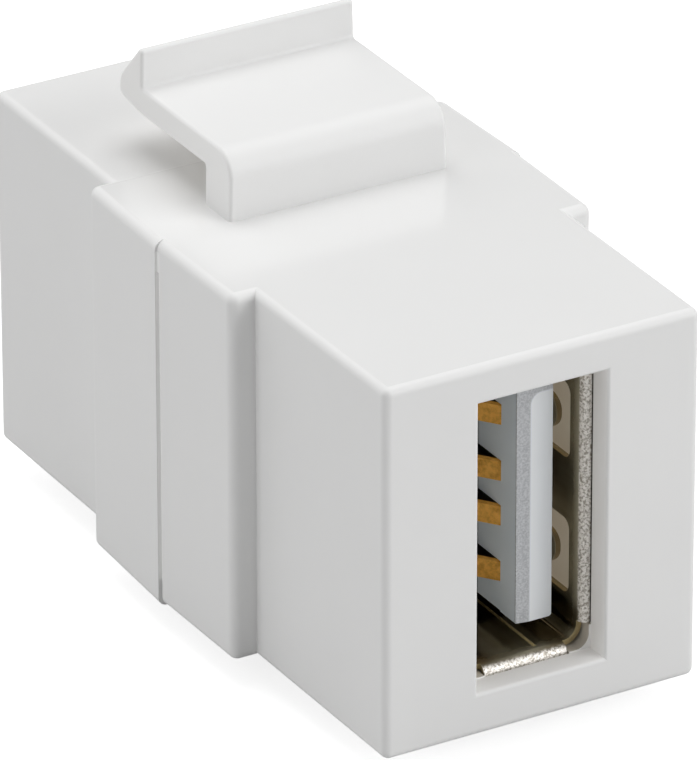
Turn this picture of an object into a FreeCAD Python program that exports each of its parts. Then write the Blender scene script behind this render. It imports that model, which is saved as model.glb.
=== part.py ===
import FreeCAD, Part
import math
import os

# USB coupler for a snap-in panel frame: two moulded case halves close on a pair of sockets
# that are soldered back to back on a small board.
# Millimetres. X runs across the coupler, Y along it from the near port to the panel side, Z up.
# The origin is on the seam between the halves, at the level of the lowest point, the lug's crest.

V = FreeCAD.Vector
ACROSS, ALONG, UP = V(1, 0, 0), V(0, 1, 0), V(0, 0, 1)

# Socket shell, folded from plated brass sheet
sheet = 0.25
port_height = 5.12
port_width = 12.6
shell_corner = 0.6
shell_length = 11.6
lip_bend = 0.15
lip_reach = 0.5
lip_relief_wide = 0.75
lip_relief_narrow = 0.65
seam_slit = 0.1
shield_tail_width = 2.0
shield_tail_length = 1.9

# Windows in the shell's wide walls, and the spring finger in each
window_setback = 1.0
window_length = 6.5
window_width = 3.33
window_pitch = 6.03
window_corner = 0.45
finger_width = 1.65
finger_slot = 0.95
finger_tip_round = 0.75
finger_crest = 0.45
finger_crest_setback = 1.6
finger_bend = 0.8

# Insulator: a tongue that carries the contacts, on a base block pressed into the shell
tongue_thickness = 1.54
tongue_width = 11.1
tongue_face = 0.4
tongue_drop = 0.03
tongue_recess = 1.3
tongue_length = 7.6
tongue_round = 0.12
nose_length = 1.3
nose_proud = 0.05
nose_bevel = 0.1
nose_land = 1.02
flex_depth = 0.9
base_overhang = 0.25

# Contacts, stamped from thin strip
contact_thickness = 0.25
contact_width = 0.84
contact_pitch_inner = 2.0
contact_pitch_outer = 7.0
contact_drop = 0.33
contact_gap = 0.05
contact_tip_setback = 1.27
contact_tip_depth = 0.22
contact_tip_cover = 0.01
contact_rise = 0.9
contact_crest_setback = 2.77
contact_root = 1.0
contact_bend = 0.6
contact_tail = 2.35

# Circuit board between the sockets, and its solder
board_thickness = 1.0
board_span = 5.9
board_seat = 0.4
board_gap = 0.03
solder_width = 1.5
solder_length = 1.7
solder_height = 0.5
solder_slope = 0.25
solder_end = 0.2

# Case walls and clearances round the sockets. The mouth's edges are set out from the port's opening,
# and its top edge hangs a little into it.
front_wall = 1.1
lip_gap = 0.1
slide_gap = 0.05
aperture_margin_side = 0.38
aperture_margin_top = -0.09
aperture_margin_bottom = 0.35
mouth_round = 0.15
top_wall = 0.7
bottom_wall = 1.4
sleeve_wall = 0.9
core_rib = 1.2
side_wall = 1.2

# Case outside
case_width = 14.5
end_draft = 0.06
case_round = 0.35
collar_half = 5.9
collar_step = 1.15
collar_round = 0.4
rear_proud = 0.1
rear_taper = 0.2
rear_drop = 0.15
seam_relief = 0.15
seam_relief_top = 1.35
pin_radius = 0.75
pin_length = 1.4
pin_root = 0.5
pin_end_gap = 0.3
pin_gap = 0.04
pin_inset_x = 1.3
pin_inset_z = 3.2

# Latch on the top of the rear half, and the fixed lug below it
panel_gap = 1.5
latch_width = 10.1
latch_draft = 0.1
post_thickness = 2.1
arm_clearance = 1.7
arm_thickness = 1.18
shoulder_round = 1.15
catch_height = 1.67
catch_land = 0.28
ramp_run = 1.5
ramp_drop = 1.68
toe_bulge = 0.16
toe_rise = 0.28
toe_round = 0.4
heel_round = 2.0
latch_edge = 0.15
lug_width = 9.0
lug_depth = 1.35
lug_land = 0.4
lug_ramp = 1.8

# Worked out from the sizes above
shell_x = port_height / 2 + sheet
shell_z = port_width / 2 + sheet
lip_span_x = port_height / 2 - lip_relief_narrow
lip_span_z = port_width / 2 - lip_relief_wide
pocket_x = shell_x + lip_reach + lip_gap
pocket_z = shell_z + lip_reach + lip_gap
half_length = front_wall + lip_gap + shell_length + base_overhang + board_span / 2
block_x = case_width / 2
collar_x = block_x + collar_step
case_bottom = lug_depth - rear_drop
port_z = case_bottom + bottom_wall + pocket_z
case_top = port_z + pocket_z + top_wall
lip_y = -half_length + front_wall + lip_gap
shell_end = lip_y + shell_length
tongue_y = lip_y + tongue_recess
base_y = tongue_y + tongue_length
base_end = shell_end + base_overhang
strip_x = board_thickness / 2 + contact_thickness / 2
groove_floor = strip_x + contact_thickness / 2
outer, inner = contact_pitch_outer / 2, contact_pitch_inner / 2
contact_heights = [height - contact_drop for height in (outer, inner, -inner, -outer)]
catch_y = collar_half + panel_gap


def box(x0, x1, y0, y1, z0, z1):
    return Part.makeBox(x1 - x0, y1 - y0, z1 - z0, V(x0, y0, z0))


def rounded_box(x0, x1, y0, y1, z0, z1, axis, radius):
    """A box whose edges along one axis are rounded."""
    block = box(x0, x1, y0, y1, z0, z1)
    rounded = [e for e in block.Edges if abs(e.tangentAt(0).dot(axis)) > 0.5]
    return block.makeFillet(radius, rounded)


def tapered_bar(y0, x0, low0, high0, y1, x1, low1, high1):
    """A four-sided bar along Y between two rectangular ends, the lower Y first."""
    a = [V(-x0, y0, low0), V(x0, y0, low0), V(x0, y0, high0), V(-x0, y0, high0)]
    b = [V(-x1, y1, low1), V(x1, y1, low1), V(x1, y1, high1), V(-x1, y1, high1)]
    loops = [a, b] + [[a[i - 1], a[i], b[i], b[i - 1]] for i in range(4)]
    return Part.Solid(Part.Shell([polygon(loop) for loop in loops]))


def polygon(points):
    return Part.Face(Part.makePolygon(points + [points[0]]))


def rounded_line(points, radii):
    """Straight runs with a tangent arc at each inner point."""
    edges = []
    start = points[0]
    for before, corner, after, radius in zip(points, points[1:], points[2:], radii):
        back = (before - corner).normalize()
        ahead = (after - corner).normalize()
        half_angle = back.getAngle(ahead) / 2
        reach = radius / math.tan(half_angle)
        middle = (back + ahead).normalize()
        crown = corner + middle * (radius / math.sin(half_angle) - radius)
        edges.append(Part.LineSegment(start, corner + back * reach).toShape())
        edges.append(Part.Arc(corner + back * reach, crown, corner + ahead * reach).toShape())
        start = corner + ahead * reach
    edges.append(Part.LineSegment(start, points[-1]).toShape())
    return edges


def shifted(points, distance):
    """Moves a line of points in the XY plane to the left of its run, with mitred corners."""
    runs = [(b - a).normalize() for a, b in zip(points, points[1:])]
    lefts = [UP.cross(run) for run in [runs[0]] + runs + [runs[-1]]]
    mitres = [(a + b) * (1 / (1 + a.dot(b))) for a, b in zip(lefts, lefts[1:])]
    return [point + mitre * distance for point, mitre in zip(points, mitres)]


def bent_strip(points, radius, thickness, low, high):
    """Sheet bent along a line in the XY plane, with one bend radius, from low to high in Z."""
    runs = [b - a for a, b in zip(points, points[1:])]
    lefts = [math.copysign(thickness / 2, a.cross(b).z) for a, b in zip(runs, runs[1:])]
    left = rounded_line(shifted(points, thickness / 2), [radius - t for t in lefts])
    right = rounded_line(shifted(points, -thickness / 2), [radius + t for t in lefts])
    ends = [Part.LineSegment(a.Vertexes[i].Point, b.Vertexes[i].Point).toShape()
            for a, b, i in ((left[0], right[0], 0), (left[-1], right[-1], -1))]
    outline = Part.Wire(Part.__sortEdges__(left + right + ends))
    strip = Part.Face(outline).extrude(UP * (high - low))
    return strip.translated(UP * low)


def both_sides(shape):
    """The shape and its copy turned half round the port's axis."""
    return [shape, shape.rotated(V(), ALONG, 180)]


def to_side(shape):
    return shape.mirror(V(), ACROSS)


def to_rear(shape):
    return shape.rotated(V(), UP, 180)


def lip(wall, span):
    """Flared lip of the wall that stands at a distance from the port's axis."""
    middle = wall + sheet / 2
    front = lip_y + sheet / 2
    line = [V(middle, lip_y + 2 * (sheet + lip_bend)), V(middle, front), V(wall + sheet + lip_reach, front)]
    return bent_strip(line, lip_bend + sheet / 2, sheet, -span, span)


def window(height):
    start = lip_y + window_setback
    low = height - window_width / 2
    end = start + window_length
    return rounded_box(0, 2 * shell_x, start, end, low, low + window_width, ACROSS, window_corner)


def finger(height):
    """Spring finger in a window: rooted at the inner end, bowed into the port, round at its free end."""
    tip = lip_y + window_setback + finger_slot
    root = lip_y + window_setback + window_length
    wall = port_height / 2 + sheet / 2
    low = height - finger_width / 2
    line = [V(wall, root + sheet), V(wall, root - sheet)]
    line += [V(wall - finger_crest, tip + finger_crest_setback), V(wall, tip - sheet)]
    strip = bent_strip(line, finger_bend, sheet, low, low + finger_width)
    outline = rounded_box(0, 2 * shell_x, tip, root + 2 * finger_tip_round, low, low + finger_width,
                          ACROSS, finger_tip_round)
    return strip.common(outline)


def make_shell():
    start = lip_y + sheet + lip_bend
    mouth_x, mouth_z = port_height / 2, port_width / 2
    tube = rounded_box(-shell_x, shell_x, start, shell_end, -shell_z, shell_z, ALONG, shell_corner + sheet)
    bore = rounded_box(-mouth_x, mouth_x, start, shell_end, -mouth_z, mouth_z, ALONG, shell_corner)
    lips = both_sides(lip(mouth_x, lip_span_z))
    lips += both_sides(lip(mouth_z, lip_span_x).rotated(V(), ALONG, 90))
    windows, fingers = [], []
    for height in (window_pitch / 2, -window_pitch / 2):
        windows += both_sides(window(height))
        fingers += both_sides(finger(height))
    tail_x = shield_tail_width / 2
    tail = box(-tail_x, tail_x, shell_end - sheet, shell_end + shield_tail_length, mouth_z, shell_z)
    slit = box(-2 * shell_x, 0, lip_y, shell_end, -seam_slit / 2, seam_slit / 2)
    shell = tube.cut(bore).fuse(lips).cut(windows)
    return shell.fuse(fingers + both_sides(tail)).cut(slit).removeSplitter()


def make_contact(height):
    """Spring strip: straight through the base, bowed out of the tongue's face, its tip tucked back in."""
    line = [V(strip_x, base_end + contact_tail), V(strip_x, base_y - contact_root)]
    line.append(V(tongue_face - contact_rise, tongue_y + contact_crest_setback))
    line.append(V(tongue_face + contact_tip_depth, tongue_y + contact_tip_setback))
    low = height - contact_width / 2
    return bent_strip(line, contact_bend, contact_thickness, low, low + contact_width)


def make_insulator():
    x, z = port_height / 2, port_width / 2
    base = rounded_box(-x, x, base_y, base_end, -z, z, ALONG, shell_corner)
    back = tongue_face + tongue_thickness
    nose_face, nose_end = tongue_face - nose_proud, tongue_y + nose_length
    root = base_y + sheet
    outline = [V(tongue_face, root), V(tongue_face, nose_end), V(nose_face, nose_end)]
    outline += [V(nose_face, tongue_y + nose_bevel), V(back - nose_land, tongue_y)]
    outline += [V(back, tongue_y), V(back, root)]
    tongue = polygon(outline).extrude(UP * tongue_width).translated(UP * (-tongue_width / 2 - tongue_drop))
    long_edges = [edge for edge in tongue.Edges if edge.BoundBox.YLength > nose_length]
    far_edges = [edge for edge in long_edges if edge.BoundBox.XMin > tongue_face]
    tongue = tongue.makeFillet(tongue_round, far_edges)
    flex_floor, flex_end = tongue_face + flex_depth, base_y - contact_root - contact_bend
    cuts = []
    for height in contact_heights:
        low = height - contact_width / 2 - contact_gap
        high = height + contact_width / 2 + contact_gap
        cuts.append(box(-x, groove_floor, flex_end, base_y, low, high))
        cuts.append(box(-x, flex_floor, nose_end, flex_end, low, high))
        tip = tongue_y + contact_tip_setback - contact_thickness / 2 - contact_gap
        cuts.append(box(tongue_face + contact_tip_cover, flex_floor, tip, nose_end, low, high))
        tunnel_side = strip_x - contact_thickness / 2 - contact_gap
        cuts.append(box(tunnel_side, groove_floor, base_y - sheet, base_end, low, high))
    slot_x = board_thickness / 2 + board_gap
    cuts.append(box(-slot_x, slot_x, base_end - board_seat, base_end, -z, z))
    return base.fuse(tongue).cut(cuts).removeSplitter()


def make_solder(contacts):
    """Solder on the tails: a sloped pillow over each contact's end and a fillet beside each shield tail."""
    face = board_thickness / 2
    end = base_end + contact_tail + solder_end
    narrow = solder_width / 2 - solder_slope
    joints = []
    for height in contact_heights:
        pillow = tapered_bar(0, solder_width / 2, 0, solder_length,
                             solder_height, narrow, solder_slope, solder_length - solder_slope)
        pillow = pillow.rotated(V(), V(1, 1, 1), -120)
        joints.append(pillow.translated(V(face, end - solder_length, height)).cut(contacts))
    corner = V(face, shell_end + sheet, port_width / 2)
    section = polygon([corner, corner + ACROSS * solder_height, corner - UP * solder_height])
    fillet = section.extrude(ALONG * (shield_tail_length - 2 * sheet))
    return Part.makeCompound(joints + [fillet, fillet.mirror(V(), UP)])


def make_board():
    y = board_span / 2 + board_seat
    return box(-board_thickness / 2, board_thickness / 2, -y, y, -port_width / 2, port_width / 2)


def rounded_case(bar, inner_end, radius):
    """Rounds a case block along its length and round its outer end. Its inner end stays sharp."""
    rounded = [edge for edge in bar.Edges if max(abs(v.Y - inner_end) for v in edge.Vertexes) > radius]
    return bar.makeFillet(radius, rounded)


def case_hollow():
    """What is taken out of the front half: the port's mouth, the socket's pocket and the side cores."""
    wall = -half_length + front_wall
    mouth_x = port_height / 2 + aperture_margin_side
    mouth_low, mouth_high = -port_width / 2 - aperture_margin_bottom, port_width / 2 + aperture_margin_top
    slide_x, slide_z = shell_x + slide_gap, shell_z + slide_gap
    span_x, span_z = lip_span_x + slide_gap, lip_span_z + slide_gap
    core_top = case_top - port_z - side_wall
    core_x = pocket_x + sleeve_wall
    core = box(core_x, block_x - side_wall, -half_length + side_wall, 0, core_rib / 2, core_top)
    cuts = [
        box(-mouth_x, mouth_x, -half_length, wall, mouth_low, mouth_high),
        rounded_box(-slide_x, slide_x, wall, 0, -slide_z, slide_z, ALONG, shell_corner),
        box(-pocket_x, pocket_x, wall, 0, -span_z, span_z),
        box(-span_x, span_x, wall, 0, -pocket_z, pocket_z),
    ]
    cuts += both_sides(core) + both_sides(core.mirror(V(), UP))
    return [cut.translated(UP * port_z) for cut in cuts]


def soften_mouth(case, end):
    """Rounds the rim of the port's mouth on an end face of the case."""
    face_edges = [edge for edge in case.Edges if max(abs(v.Y - end) for v in edge.Vertexes) < mouth_round]
    rim = [edge for edge in face_edges if max(abs(v.X) for v in edge.Vertexes) < pocket_x]
    return case.makeFillet(mouth_round, rim)


def pin_places():
    x = collar_x - pin_inset_x
    heights = (case_bottom + pin_inset_z, case_top - pin_inset_z)
    return [V(side, 0, height) for side in (-x, x) for height in heights]


def make_front_housing():
    block = tapered_bar(-half_length, block_x - end_draft, case_bottom, case_top,
                        -collar_half + collar_round, block_x, case_bottom, case_top)
    collar = tapered_bar(-collar_half, collar_x - end_draft, case_bottom, case_top,
                         0, collar_x, case_bottom, case_top)
    case = rounded_case(block, -collar_half + collar_round, case_round)
    case = case.fuse(rounded_case(collar, 0, collar_round)).cut(case_hollow())
    case = soften_mouth(case, -half_length)
    relief = box(collar_x - seam_relief, collar_x, -seam_relief, 0, case_bottom, case_top - seam_relief_top)
    case = case.cut([relief, to_side(relief)])
    pins = []
    for place in pin_places():
        pins.append(Part.makeCylinder(pin_radius, pin_root + pin_length, place - ALONG * pin_root, ALONG))
    return case.fuse(pins).removeSplitter()


def make_latch():
    """Post, springy arm and wedge-shaped catch, drawn from the side and tapered a little upwards."""
    arm_low = case_top + arm_clearance
    arm_top = arm_low + arm_thickness
    tab_top = arm_top + catch_height
    ramp_end = catch_y + catch_land + ramp_run
    root = case_top - collar_round
    side = -latch_width / 2
    under = [V(side, post_thickness, root), V(side, post_thickness, arm_low), V(side, catch_y, arm_low)]
    toe = [V(side, ramp_end + toe_bulge, arm_low + toe_rise), V(side, ramp_end, tab_top - ramp_drop)]
    tab = [V(side, catch_y + catch_land, tab_top), V(side, catch_y, tab_top), V(side, catch_y, arm_top)]
    front = [V(side, 0, arm_top), V(side, 0, root)]
    radii = [latch_edge, heel_round] + [toe_round] * 2 + [latch_edge] * 3 + [shoulder_round]
    edges = rounded_line(under + toe + tab + front, radii)
    edges.append(Part.LineSegment(front[-1], under[0]).toShape())
    latch = Part.Face(Part.Wire(edges)).extrude(ACROSS * latch_width)
    top_x = -side - latch_draft
    taper = polygon([V(side, 0, root), V(-side, 0, root), V(top_x, 0, tab_top), V(-top_x, 0, tab_top)])
    latch = latch.common(taper.extrude(ALONG * (ramp_end + toe_round)))
    sides = [face for face in latch.Faces if abs(face.normalAt(0, 0).x) > 0.9]
    rounded = [e for face in sides for e in face.Edges if e.BoundBox.ZMax > root + latch_edge]
    return latch.makeFillet(latch_edge, rounded)


def make_lug():
    """Wedge below the panel side: square catch towards the collar, long ramp towards the end face."""
    side = -lug_width / 2
    top = case_bottom + rear_drop + case_round
    section = [V(side, catch_y, top), V(side, catch_y, 0), V(side, catch_y + lug_land, 0)]
    section.append(V(side, catch_y + lug_land + lug_ramp, top))
    return polygon(section).extrude(ACROSS * lug_width)


def make_rear_housing():
    low, high = case_bottom + rear_drop, case_top - rear_drop
    block = tapered_bar(collar_half - collar_round, block_x, low, high,
                        half_length, block_x - end_draft, low, high)
    proud_x = collar_x + rear_proud
    collar = tapered_bar(0, proud_x, case_bottom - rear_proud, case_top,
                         collar_half, proud_x - rear_taper, case_bottom, case_top)
    case = rounded_case(block, collar_half - collar_round, case_round)
    case = case.fuse([rounded_case(collar, 0, collar_round), make_latch(), make_lug()])
    case = soften_mouth(case.cut([to_rear(cut) for cut in case_hollow()]), half_length)
    depth = pin_length + pin_end_gap
    sockets = [Part.makeCylinder(pin_radius + pin_gap, depth, place, ALONG) for place in pin_places()]
    return case.cut(sockets).removeSplitter()


contacts = [make_contact(height) for height in contact_heights]
socket = {"shell": make_shell(), "insulator": make_insulator(), "solder_joints": make_solder(contacts)}
for number, contact in enumerate(contacts, 1):
    socket[f"contact_{number}"] = contact

nodes = {"front_housing": make_front_housing(), "rear_housing": make_rear_housing()}
nodes["circuit_board"] = make_board().translated(UP * port_z)
for name, shape in socket.items():
    nodes[f"front_{name}"] = shape.translated(UP * port_z)
    nodes[f"rear_{name}"] = to_rear(shape).translated(UP * port_z)

os.makedirs("parts", exist_ok=True)
for name, shape in nodes.items():
    shape.exportStep(f"parts/{name}.step")
    print(f"{name}: {len(shape.Solids)} solid, {shape.Volume:.2f} mm3, valid {shape.isValid()}")
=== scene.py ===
import math

import bpy
from mathutils import Euler, Matrix, Vector


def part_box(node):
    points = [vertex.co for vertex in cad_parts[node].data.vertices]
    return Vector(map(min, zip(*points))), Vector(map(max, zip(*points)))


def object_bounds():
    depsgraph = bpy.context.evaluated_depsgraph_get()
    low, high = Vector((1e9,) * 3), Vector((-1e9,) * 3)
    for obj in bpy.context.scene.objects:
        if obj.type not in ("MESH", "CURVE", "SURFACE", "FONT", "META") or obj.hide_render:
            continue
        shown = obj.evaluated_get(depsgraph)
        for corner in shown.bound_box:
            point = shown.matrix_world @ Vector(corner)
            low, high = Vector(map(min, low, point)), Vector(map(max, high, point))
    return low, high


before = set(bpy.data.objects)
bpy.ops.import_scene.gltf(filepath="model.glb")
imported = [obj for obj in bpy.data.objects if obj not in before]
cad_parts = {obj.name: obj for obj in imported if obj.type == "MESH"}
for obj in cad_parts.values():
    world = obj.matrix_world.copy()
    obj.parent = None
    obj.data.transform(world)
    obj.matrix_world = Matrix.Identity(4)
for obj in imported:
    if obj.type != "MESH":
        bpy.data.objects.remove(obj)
cad_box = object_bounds()

# Contacts: four narrow spring strips in each socket, stamped from copper alloy and gold plated.
# They are pressed into the insulator from behind and bow out of the tongue's face.
# The plating is mottled with brown scuffs. Where the strips run back into the port they are painted
# near black as painted shade, and further out a faint painted light shows on them where they are seen.
mm = 0.001
ends = ("front", "rear")
case_low, case_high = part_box("front_housing")
case_end = -case_low.y
shade_start, shade_end = case_end - 5.58 * mm, case_end - 5.72 * mm
gold_bright, gold_dull = (0.95, 0.59, 0.18, 1), (0.62, 0.35, 0.09, 1)
gold_scuffed = (0.36, 0.20, 0.05, 1)
gold_in_shade = (0.06, 0.04, 0.02, 1)
gold_painted_light = (0.105, 0.047, 0.005, 1)
scuff_scale, scuff_range = 3200.0, (0.42, 0.72)
gold_streak_height = 0.0001 * mm


def feed(tree, node, inputs):
    """Gives a node its inputs. Each is a plain value or another node's socket."""
    for name, value in inputs.items():
        if isinstance(value, bpy.types.NodeSocket):
            tree.links.new(value, node.inputs[name])
        else:
            node.inputs[name].default_value = value


def add(tree, kind, inputs, **settings):
    """A new node. Its settings come first, because they decide which inputs it has."""
    node = tree.nodes.new(kind)
    for name, value in settings.items():
        setattr(node, name, value)
    feed(tree, node, inputs)
    return node


def maths(tree, operation, a, b=0.0, c=0.0):
    return add(tree, "ShaderNodeMath", {0: a, 1: b, 2: c}, operation=operation).outputs[0]


def ranged(tree, value, low, high, to_low=0.0, to_high=1.0):
    """Where a value lies between two limits, as a share or between two other values."""
    limits = {"From Min": low, "From Max": high, "To Min": to_low, "To Max": to_high}
    return add(tree, "ShaderNodeMapRange", {"Value": value, **limits}).outputs["Result"]


def mixed(tree, factor, a, b):
    """Two colours mixed by a factor. The node's socket names repeat, so their numbers are used."""
    return add(tree, "ShaderNodeMix", {0: factor, 6: a, 7: b}, data_type="RGBA").outputs[2]


def place(tree):
    return add(tree, "ShaderNodeTexCoord", {}).outputs["Object"]


def parts_of(tree, vector):
    return add(tree, "ShaderNodeSeparateXYZ", {"Vector": vector}).outputs


def noise(tree, vector, scale, detail=2.0, roughness=0.5):
    values = {"Vector": vector, "Scale": scale, "Detail": detail, "Roughness": roughness}
    return add(tree, "ShaderNodeTexNoise", values).outputs["Fac"]


def bumped(tree, height, distance):
    """A normal from a height, in shares of a distance in metres."""
    return add(tree, "ShaderNodeBump", {"Height": height, "Distance": distance}).outputs["Normal"]


def out_from_seam(tree):
    return maths(tree, "ABSOLUTE", parts_of(tree, place(tree))["Y"])


def lit_share(tree):
    """0 in the shade deep inside a port, 1 further out."""
    return ranged(tree, out_from_seam(tree), shade_end, shade_start)


def seen(tree):
    """1 where the surface itself is seen, 0 where it only lights others."""
    return add(tree, "ShaderNodeLightPath", {}).outputs["Is Camera Ray"]


def new_group(name, inputs, outputs):
    """A shader node group: its tree, what it is given and the node that takes what it makes."""
    tree = bpy.data.node_groups.new(name, "ShaderNodeTree")
    for socket_name, kind, value in inputs:
        socket = tree.interface.new_socket(socket_name, in_out="INPUT", socket_type=kind)
        socket.default_value = value
    for socket_name, kind in outputs:
        tree.interface.new_socket(socket_name, in_out="OUTPUT", socket_type=kind)
    return tree, tree.nodes.new("NodeGroupInput").outputs, tree.nodes.new("NodeGroupOutput")


def use_group(tree, group, inputs):
    return add(tree, "ShaderNodeGroup", inputs, node_tree=group).outputs


def new_material(name):
    """A material, its node tree and its shader."""
    material = bpy.data.materials.new(name)
    material.use_nodes = True
    return material, material.node_tree, material.node_tree.nodes["Principled BSDF"]


def dress(material, *names):
    for name in names:
        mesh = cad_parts[name].data
        mesh.materials.clear()
        mesh.materials.append(material)


# Rolled and plated sheet: fine streaks along the rolling direction over a slow change of tone.
FLOAT, COLOUR, VECTOR = "NodeSocketFloat", "NodeSocketColor", "NodeSocketVector"
sheet_cloud_scale, streak_share, tone_range = 520.0, 0.5, (0.5, 1.0)
middling_noise = (0.3, 0.7)
plated_sheet, given, made = new_group(
    "plated_sheet",
    [("Bright", COLOUR, (1, 1, 1, 1)), ("Dull", COLOUR, (0.5, 0.5, 0.5, 1)),
     ("Streak Scale", VECTOR, (1, 1, 1)), ("Smooth", FLOAT, 0.15), ("Scuffed", FLOAT, 0.3)],
    [("Colour", COLOUR), ("Roughness", FLOAT), ("Height", FLOAT)])
spot = place(plated_sheet)
stretched = add(plated_sheet, "ShaderNodeVectorMath", {0: spot, 1: given["Streak Scale"]},
                operation="MULTIPLY").outputs[0]
streaks = noise(plated_sheet, stretched, scale=1.0, detail=4.0, roughness=0.6)
clouds = noise(plated_sheet, spot, sheet_cloud_scale)
tone = maths(plated_sheet, "MULTIPLY_ADD", streaks, streak_share, clouds)
dulled = ranged(plated_sheet, tone, *tone_range)
feed(plated_sheet, made, {
    "Colour": mixed(plated_sheet, dulled, given["Bright"], given["Dull"]),
    "Roughness": ranged(plated_sheet, streaks, *middling_noise, given["Smooth"], given["Scuffed"]),
    "Height": streaks})

gold_plate, tree, shader = new_material("gold_plate")
gold = use_group(tree, plated_sheet, {
    "Bright": gold_bright,
    "Dull": gold_dull,
    "Streak Scale": (2500, 500, 2500),
    "Smooth": 0.3,
    "Scuffed": 0.42})
scuffs = noise(tree, place(tree), scuff_scale, detail=3.0, roughness=0.6)
colour = mixed(tree, ranged(tree, scuffs, *scuff_range), gold["Colour"], gold_scuffed)
# Painted shade: the plating turns near black deeper in the port than shade_start.
lit = lit_share(tree)
feed(tree, shader, {
    "Base Color": mixed(tree, lit, gold_in_shade, colour),
    "Metallic": 0.5,
    "Roughness": gold["Roughness"],
    # Painted light: a faint orange light on the seen plating, for camera rays only.
    "Emission Color": gold_painted_light,
    "Emission Strength": maths(tree, "MULTIPLY", lit, seen(tree)),
    "Normal": bumped(tree, gold["Height"], gold_streak_height)})
dress(gold_plate, *(f"{end}_contact_{number}" for end in ends for number in (1, 2, 3, 4)))

# Insulators: the grey tongue and base block of each socket, moulded in glass-filled nylon.
# The base is pressed into the shell. The skin is satin with a fine grain. The tongue's nose has a
# smooth land with one rounded corner, painted pale as painted light, beside a speckled band painted
# darker, partly as painted shade. The contacts' slots and the tongue deep in the port are painted near
# black as painted shade, and a faint painted light shows on the rest of the seen nylon.
shell_low, shell_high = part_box("rear_shell")
port_z = (shell_low.z + shell_high.z) / 2
nose_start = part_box("rear_insulator")[1].y - 0.2 * mm
land_side, land_top, land_corner, land_blur = 0.92 * mm, 4.58 * mm, 0.5 * mm, 0.04 * mm
slot_start, slot_floor, slot_reach = 0.45 * mm, 1.4 * mm, 4.8 * mm
slot_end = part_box("rear_contact_1")[1].y + 0.095 * mm
nylon_grey, nylon_clouded = (0.76, 0.83, 0.90, 1), (0.81, 0.87, 0.93, 1)
land_painted_light = (0.93, 0.95, 0.97, 1)
band_dark, band_pale = (0.44, 0.44, 0.45, 1), (0.62, 0.62, 0.63, 1)
slot_painted_shade = (0.10, 0.10, 0.09, 1)
nylon_painted_light, no_glow = (0.046, 0.055, 0.064, 1), (0, 0, 0, 1)
speckle_scale, speckle_range = 12000.0, (0.35, 0.65)
nylon_grain_height = 0.003 * mm


def to_far_side(tree):
    """How far a point lies from its port's middle plane towards the back of the tongue."""
    spot = parts_of(tree, place(tree))
    turned = maths(tree, "MULTIPLY", spot["X"], maths(tree, "SIGN", spot["Y"]))
    return maths(tree, "MULTIPLY", turned, -1.0)


def above_axis(tree):
    return maths(tree, "SUBTRACT", parts_of(tree, place(tree))["Z"], port_z)


def over(tree, value, limit):
    return maths(tree, "GREATER_THAN", value, limit)


def under(tree, value, limit):
    return maths(tree, "LESS_THAN", value, limit)


def all_of(tree, mask, *others):
    """Several masks multiplied."""
    for other in others:
        mask = maths(tree, "MULTIPLY", mask, other)
    return mask


def any_of(tree, mask, *others):
    """The greatest of several masks."""
    for other in others:
        mask = maths(tree, "MAXIMUM", mask, other)
    return mask


# Moulded skin: slow clouding of the colour, and a grain that breaks up the gloss.
clouded_range, even_share = (0.35, 0.7), 0.5
moulded_skin, given, made = new_group(
    "moulded_skin",
    [("Base", COLOUR, (1, 1, 1, 1)), ("Clouded", COLOUR, (1, 1, 1, 1)), ("Cloud Scale", FLOAT, 100.0),
     ("Grain Scale", FLOAT, 5000.0), ("Smooth", FLOAT, 0.25), ("Coarse", FLOAT, 0.4)],
    [("Colour", COLOUR), ("Roughness", FLOAT), ("Height", FLOAT)])
spot = place(moulded_skin)
clouds = noise(moulded_skin, spot, given["Cloud Scale"], detail=3.0)
grain = noise(moulded_skin, spot, given["Grain Scale"])
clouding = ranged(moulded_skin, clouds, *clouded_range)
gloss = maths(moulded_skin, "MULTIPLY", clouds, even_share)
gloss = maths(moulded_skin, "MULTIPLY_ADD", grain, even_share, gloss)
feed(moulded_skin, made, {
    "Colour": mixed(moulded_skin, clouding, given["Base"], given["Clouded"]),
    "Roughness": ranged(moulded_skin, gloss, *middling_noise, given["Smooth"], given["Coarse"]),
    "Height": grain})

grey_nylon, tree, shader = new_material("grey_nylon")
skin = use_group(tree, moulded_skin, {
    "Base": nylon_grey,
    "Clouded": nylon_clouded,
    "Cloud Scale": 350.0,
    "Grain Scale": 9000.0,
    "Smooth": 0.38,
    "Coarse": 0.55})
depth, across, height = out_from_seam(tree), to_far_side(tree), above_axis(tree)
beside = maths(tree, "MAXIMUM", maths(tree, "SUBTRACT", land_side + land_corner, across), 0.0)
above = maths(tree, "MAXIMUM", maths(tree, "SUBTRACT", height, land_top - land_corner), 0.0)
squares = maths(tree, "ADD", maths(tree, "POWER", beside, 2.0), maths(tree, "POWER", above, 2.0))
off_land = ranged(tree, maths(tree, "SQRT", squares), land_corner - land_blur, land_corner + land_blur)
at_nose = ranged(tree, depth, nose_start, nose_start + land_blur)
speckle = ranged(tree, noise(tree, place(tree), speckle_scale), *speckle_range)
# Painted light on the nose land; the speckled band beside it is darker, partly as painted shade.
nose_colour = mixed(tree, off_land, land_painted_light, mixed(tree, speckle, band_dark, band_pale))
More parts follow.
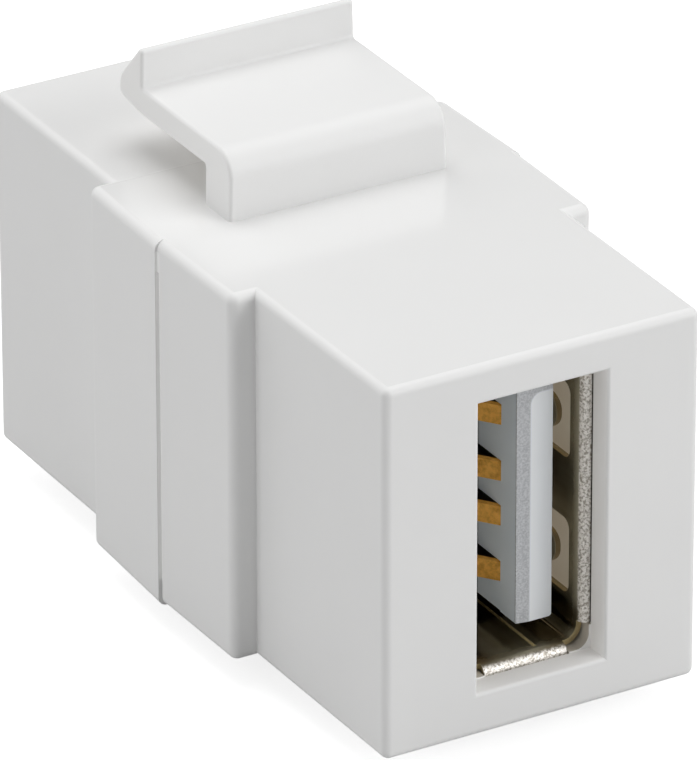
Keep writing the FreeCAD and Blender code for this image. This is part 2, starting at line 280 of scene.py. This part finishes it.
# Painted shade: the contacts' slots, and the tongue deep in the port, are painted near black.
in_slot = all_of(tree, over(tree, across, slot_start), under(tree, across, slot_floor),
                 under(tree, depth, slot_end), under(tree, maths(tree, "ABSOLUTE", height), slot_reach))
nylon_painted_shade = any_of(tree, in_slot, maths(tree, "SUBTRACT", 1.0, lit_share(tree)))
feed(tree, shader, {
    "Base Color": mixed(tree, nylon_painted_shade, mixed(tree, at_nose, skin["Colour"], nose_colour), slot_painted_shade),
    "Roughness": skin["Roughness"],
    # Painted light: a faint bluish light on the seen nylon outside the painted shade, for camera rays
    # only.
    "Emission Color": mixed(tree, nylon_painted_shade, nylon_painted_light, no_glow),
    "Emission Strength": seen(tree),
    "Normal": bumped(tree, skin["Height"], nylon_grain_height)})
dress(grey_nylon, *(f"{end}_insulator" for end in ends))

# Shells: each socket's shield, stamped and folded from brass sheet, then nickel plated.
# The walls are a dark olive mirror streaked along the port. Cut edges show yellow brass, and a thin
# yellow line is painted along the wide wall. The bend into each lip is painted lighter, as painted
# light.
# The flared lips were left rough by the press; they are speckled, their bright specks painted glints,
# and their outer edge is painted near black as painted shade.
shell_side, shell_front, shell_reach = shell_high.x, shell_high.y, shell_high.z - port_z
lip_start, corner_start, bend_start = (shell_front - back * mm for back in (0.38, 0.55, 1.3))
lip_edge, wall_inside = shell_side - 0.38 * mm, shell_side - 0.75 * mm
narrow_wall, window_reach = shell_reach - 0.85 * mm, shell_reach - 1.46 * mm
rim_depth, rim_rest = 0.12 * mm, 0.3
line_across, line_half_width = 0.74 * mm, 0.06 * mm
shell_blur = 0.03 * mm
# A turn is how far a face turns to a direction, from where a finish starts to where it is full.
side_lip_turn, end_lip_turn, rim_turn = (0.05, 0.3), (0.3, 0.6), (0.6, 0.8)
nickel_bright, nickel_dull = (0.46, 0.40, 0.29, 1), (0.29, 0.24, 0.15, 1)
bend_painted_light, finger_tone = (0.50, 0.46, 0.34, 1), (0.42, 0.38, 0.28, 1)
line_yellow, edge_brass = (0.85, 0.70, 0.36, 1), (0.50, 0.41, 0.23, 1)
pit_dark, pit_painted_glint = (0.43, 0.39, 0.33, 1), (0.98, 0.95, 0.90, 1)
lip_edge_painted_shade = (0.05, 0.045, 0.04, 1)
pit_scale, pit_range, pit_height = 9000.0, (0.38, 0.55), 0.035 * mm
scuff_roughness, bend_share, rough_metal = 0.3, 0.7, 0.6


def off_middle(tree):
    return maths(tree, "ABSOLUTE", parts_of(tree, place(tree))["X"])


def facing(tree):
    """The parts of the direction that the surface faces."""
    return parts_of(tree, add(tree, "ShaderNodeTexCoord", {}).outputs["Normal"])


nickel_plate, tree, shader = new_material("nickel_plate")
nickel = use_group(tree, plated_sheet, {
    "Bright": nickel_bright,
    "Dull": nickel_dull,
    "Streak Scale": (2500, 250, 2500),
    "Smooth": 0.11,
    "Scuffed": 0.16})
depth, across, side = out_from_seam(tree), to_far_side(tree), off_middle(tree)
height = maths(tree, "ABSOLUTE", above_axis(tree))
faces = facing(tree)
along, upright = maths(tree, "ABSOLUTE", faces["Y"]), maths(tree, "ABSOLUTE", faces["Z"])
side_lip = all_of(tree, under(tree, height, narrow_wall), ranged(tree, along, *side_lip_turn))
faces_out = any_of(tree, side_lip, ranged(tree, along, *end_lip_turn))
lip = all_of(tree, faces_out, ranged(tree, depth, lip_start, lip_start + shell_blur))
corner = all_of(tree, faces_out, ranged(tree, depth, corner_start, corner_start + shell_blur))
at_windows = under(tree, height, window_reach)
rim_end = wall_inside + rim_depth
rim = all_of(tree, at_windows, ranged(tree, upright, *rim_turn),
             ranged(tree, side, wall_inside - shell_blur, wall_inside),
             ranged(tree, side, rim_end, rim_end + shell_blur, 1.0, rim_rest))
finger = all_of(tree, at_windows, under(tree, side, wall_inside - shell_blur))
bend = ranged(tree, depth, bend_start, lip_start)
# A thin bright yellow line painted along the shell's wide wall, a set distance across from the middle.
from_line = maths(tree, "ABSOLUTE", maths(tree, "SUBTRACT", across, line_across))
line = all_of(tree, ranged(tree, from_line, line_half_width, line_half_width + shell_blur, 1.0, 0.0),
              over(tree, height, narrow_wall), under(tree, depth, corner_start))
# Painted shade: the lip's outer edge is painted near black, for the gap beside the case wall.
at_edge = ranged(tree, side, lip_edge, lip_edge + shell_blur)
# The lips are speckled by noise: darker pits and near white specks, the specks painted glints.
pits = noise(tree, place(tree), pit_scale, detail=3.0, roughness=0.6)
lip_pits_and_glints = mixed(tree, ranged(tree, pits, *pit_range), pit_dark, pit_painted_glint)
# Painted light: the bend is painted lighter towards the lip, for its curve catching light.
colour = mixed(tree, bend, nickel["Colour"], bend_painted_light)
colour = mixed(tree, finger, colour, finger_tone)
colour = mixed(tree, line, colour, line_yellow)
colour = mixed(tree, any_of(tree, corner, rim), colour, edge_brass)
colour = mixed(tree, lip, colour, mixed(tree, at_edge, lip_pits_and_glints, lip_edge_painted_shade))
scuffed = any_of(tree, lip, corner, finger, rim, maths(tree, "MULTIPLY", bend, bend_share))
roughened = any_of(tree, lip, finger, line)
feed(tree, shader, {
    "Base Color": colour,
    "Metallic": ranged(tree, roughened, 0.0, 1.0, 1.0, rough_metal),
    "Roughness": maths(tree, "MULTIPLY_ADD", scuffed, scuff_roughness, nickel["Roughness"]),
    "Normal": bumped(tree, maths(tree, "MULTIPLY", pits, lip), pit_height)})
dress(nickel_plate, *(f"{end}_shell" for end in ends))

# Circuit board: the small glass-fibre board that stands upright between the two sockets.
# It is sealed inside the case, with a green solder mask over a woven laminate.
mask_green, mask_pale = (0.02, 0.12, 0.05, 1), (0.03, 0.17, 0.07, 1)
weave_height = 0.01 * mm

board_green, tree, shader = new_material("board_green")
skin = use_group(tree, moulded_skin, {
    "Base": mask_green,
    "Clouded": mask_pale,
    "Cloud Scale": 900.0,
    "Grain Scale": 4000.0,
    "Smooth": 0.25,
    "Coarse": 0.4})
feed(tree, shader, {
    "Base Color": skin["Colour"],
    "Roughness": skin["Roughness"],
    "Normal": bumped(tree, skin["Height"], weave_height)})
dress(board_green, "circuit_board")

# Solder: the joints that hold the contact tails and shield tails to the board.
# They were run on as molten tin alloy, and set bright and smooth.
tin_bright, tin_dull = (0.72, 0.72, 0.70, 1), (0.55, 0.55, 0.53, 1)
tin_height = 0.02 * mm

bright_solder, tree, shader = new_material("bright_solder")
tin = use_group(tree, plated_sheet, {
    "Bright": tin_bright,
    "Dull": tin_dull,
    "Streak Scale": (1500, 1500, 1500),
    "Smooth": 0.2,
    "Scuffed": 0.45})
feed(tree, shader, {
    "Base Color": tin["Colour"],
    "Metallic": 1.0,
    "Roughness": tin["Roughness"],
    "Normal": bumped(tree, tin["Height"], tin_height)})
dress(bright_solder, *(f"{end}_solder_joints" for end in ends))

# Case halves: injection moulded in white ABS and pressed together on four pins.
# The skin is clean and satin, and polished on the flat top. The pocket round each shell is painted a
# darker beige, as painted shade with a painted warm reflection of the brass. Painted light, standing
# for daylight through thin walls, shows from the pocket behind the windows, the mouth, the seam groove
# and the latch.
case_top = case_high.z
rear_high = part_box("rear_housing")[1]
pocket_side, pocket_reach = shell_side + 0.14 * mm, shell_reach - 0.1 * mm
pocket_end, mouth_edge, mouth_end = (case_end - back * mm for back in (1.12, 0.12, 0.02))
mouth_side = wall_inside + 0.54 * mm
groove_depth, groove_reach = 0.2 * mm, case_top - port_z - 0.45 * mm
groove_floor, groove_top = case_high.x - 0.4 * mm, rear_high.x - 0.03 * mm
polish_start, latch_start = case_top - 0.07 * mm, case_top + 0.15 * mm
latch_thin = rear_high.z - 1.65 * mm
satin, polished = 0.49, 0.15
flat_turn, underside_turn, flank_turn = (0.985, 0.998), (-0.5, -0.2), (0.6, 0.9)
abs_white, abs_clouded = (0.835, 0.835, 0.83, 1), (0.845, 0.845, 0.84, 1)
pocket_painted_shade = (0.66, 0.62, 0.55, 1)
groove_painted_light, window_painted_light = (0.065, 0.065, 0.063, 1), (0.15, 0.13, 0.10, 1)
mouth_painted_light_inside, mouth_painted_light_outside = (0.06, 0.055, 0.05, 1), (0.13, 0.128, 0.125, 1)
underside_painted_light, flank_painted_light = (0.070, 0.061, 0.048, 1), (0.045, 0.042, 0.038, 1)
abs_grain_height = 0.00012 * mm

white_abs, tree, shader = new_material("white_abs")
skin = use_group(tree, moulded_skin, {
    "Base": abs_white,
    "Clouded": abs_clouded,
    "Cloud Scale": 160.0,
    "Grain Scale": 2500.0,
    "Smooth": satin - 0.01,
    "Coarse": satin + 0.02})
depth, side = out_from_seam(tree), off_middle(tree)
height = maths(tree, "ABSOLUTE", above_axis(tree))
level = parts_of(tree, place(tree))["Z"]
faces = facing(tree)
near_port = under(tree, height, pocket_reach)
inside = all_of(tree, under(tree, depth, pocket_end), under(tree, side, pocket_side))
# Painted shade and painted brass reflection: the pocket round each shell is a darker warm beige.
pocket = all_of(tree, inside, near_port)
behind_windows = all_of(tree, inside, under(tree, height, window_reach))
mouth = all_of(tree, near_port, under(tree, side, mouth_side), over(tree, depth, pocket_end),
               ranged(tree, depth, mouth_edge, mouth_end, 1.0, 0.0))
further_out = ranged(tree, depth, pocket_end, mouth_edge)
groove = all_of(tree, under(tree, depth, groove_depth), under(tree, height, groove_reach),
                over(tree, side, groove_floor), under(tree, side, groove_top))
underside = all_of(tree, over(tree, level, latch_start),
                   ranged(tree, faces["Z"], *underside_turn, 1.0, 0.0))
flank = all_of(tree, ranged(tree, level, latch_start, latch_thin),
               ranged(tree, maths(tree, "ABSOLUTE", faces["X"]), *flank_turn))
flat_top = all_of(tree, over(tree, level, polish_start), under(tree, level, latch_start),
                  ranged(tree, faces["Z"], *flat_turn))
# Painted light: the seam groove, mouth, pocket behind the windows and latch underside and flanks emit
# light.
abs_painted_light = mixed(tree, groove, no_glow, groove_painted_light)
abs_painted_light = mixed(tree, mouth, abs_painted_light, mixed(tree, further_out, mouth_painted_light_inside, mouth_painted_light_outside))
abs_painted_light = mixed(tree, behind_windows, abs_painted_light, window_painted_light)
abs_painted_light = mixed(tree, underside, abs_painted_light, underside_painted_light)
abs_painted_light = mixed(tree, flank, abs_painted_light, flank_painted_light)
feed(tree, shader, {
    "Base Color": mixed(tree, pocket, skin["Colour"], pocket_painted_shade),
    "Roughness": maths(tree, "MULTIPLY_ADD", flat_top, polished - satin, skin["Roughness"]),
    "Specular IOR Level": 0.42,
    "Emission Color": abs_painted_light,
    "Emission Strength": 1.0,
    "Normal": bumped(tree, skin["Height"], abs_grain_height)})
dress(white_abs, *(f"{end}_housing" for end in ends))

# Stage: a plain white floor under soft studio light.
# The floor itself looks nearly white, but it sends less light up to the object than it shows.
floor_reach = 2.0
floor_grey, floor_glow = (0.6, 0.6, 0.6, 1), (0.75, 0.75, 0.75, 1)
world_white, world_strength = (1, 1, 1, 1), 0.146
light_distance = 0.6
middle = (cad_box[0] + cad_box[1]) / 2

floor_mesh = bpy.data.meshes.new("floor")
floor_corners = [(x * floor_reach, y * floor_reach, 0) for x, y in ((-1, -1), (1, -1), (1, 1), (-1, 1))]
floor_mesh.from_pydata(floor_corners, [], [(0, 1, 2, 3)])
floor = bpy.data.objects.new("floor", floor_mesh)
bpy.context.scene.collection.objects.link(floor)
floor_white, tree, shader = new_material("floor_white")
feed(tree, shader, {
    "Base Color": floor_grey,
    "Roughness": 0.9,
    "Emission Color": floor_glow,
    "Emission Strength": seen(tree)})
floor_mesh.materials.append(floor_white)

world = bpy.data.worlds.new("studio")
world.use_nodes = True
background = world.node_tree.nodes["Background"]
feed(world.node_tree, background, {"Color": world_white, "Strength": world_strength})
bpy.context.scene.world = world


def softbox(name, direction, size, power):
    """A square light that faces the object's middle from a direction."""
    data = bpy.data.lights.new(name, "AREA")
    data.shape = "SQUARE"
    data.size = size
    data.energy = power
    light = bpy.data.objects.new(name, data)
    away = Vector(direction).normalized()
    light.location = middle + away * light_distance
    light.rotation_euler = (-away).to_track_quat("-Z", "Y").to_euler()
    bpy.context.scene.collection.objects.link(light)


softbox("overhead", (0.1, 0.2, 1.0), size=0.5, power=2.16)
softbox("front_right", (0.8, -1.0, 0.5), size=0.4, power=2.10)
softbox("left", (-1.0, -0.2, 0.6), size=0.4, power=0.51)
softbox("left_low", (-1.0, 0.3, 0.15), size=0.4, power=0.79)
softbox("back", (-0.3, 1.0, 0.7), size=0.5, power=0.93)

# Camera: the photograph's view, from the left of the near port and above.
# Its place and turn were fitted to the straight edges of the case.
yaw, pitch, roll = math.radians(29.9645), math.radians(26.9563), math.radians(0.0796)
lens = bpy.data.cameras.new("camera")
lens.sensor_width = 36.0
lens.lens = 466.02
lens.clip_start, lens.clip_end = 0.01, 10.0
camera = bpy.data.objects.new("camera", lens)
camera.location = (-177.529 * mm, -308.769 * mm, 190.388 * mm)
aim = Euler((math.pi / 2 - pitch, 0, -yaw)).to_matrix()
camera.rotation_euler = (aim @ Matrix.Rotation(-roll, 3, "Z")).to_euler()
bpy.context.scene.collection.objects.link(camera)
bpy.context.scene.camera = camera
bpy.context.scene.view_settings.view_transform = "Standard"
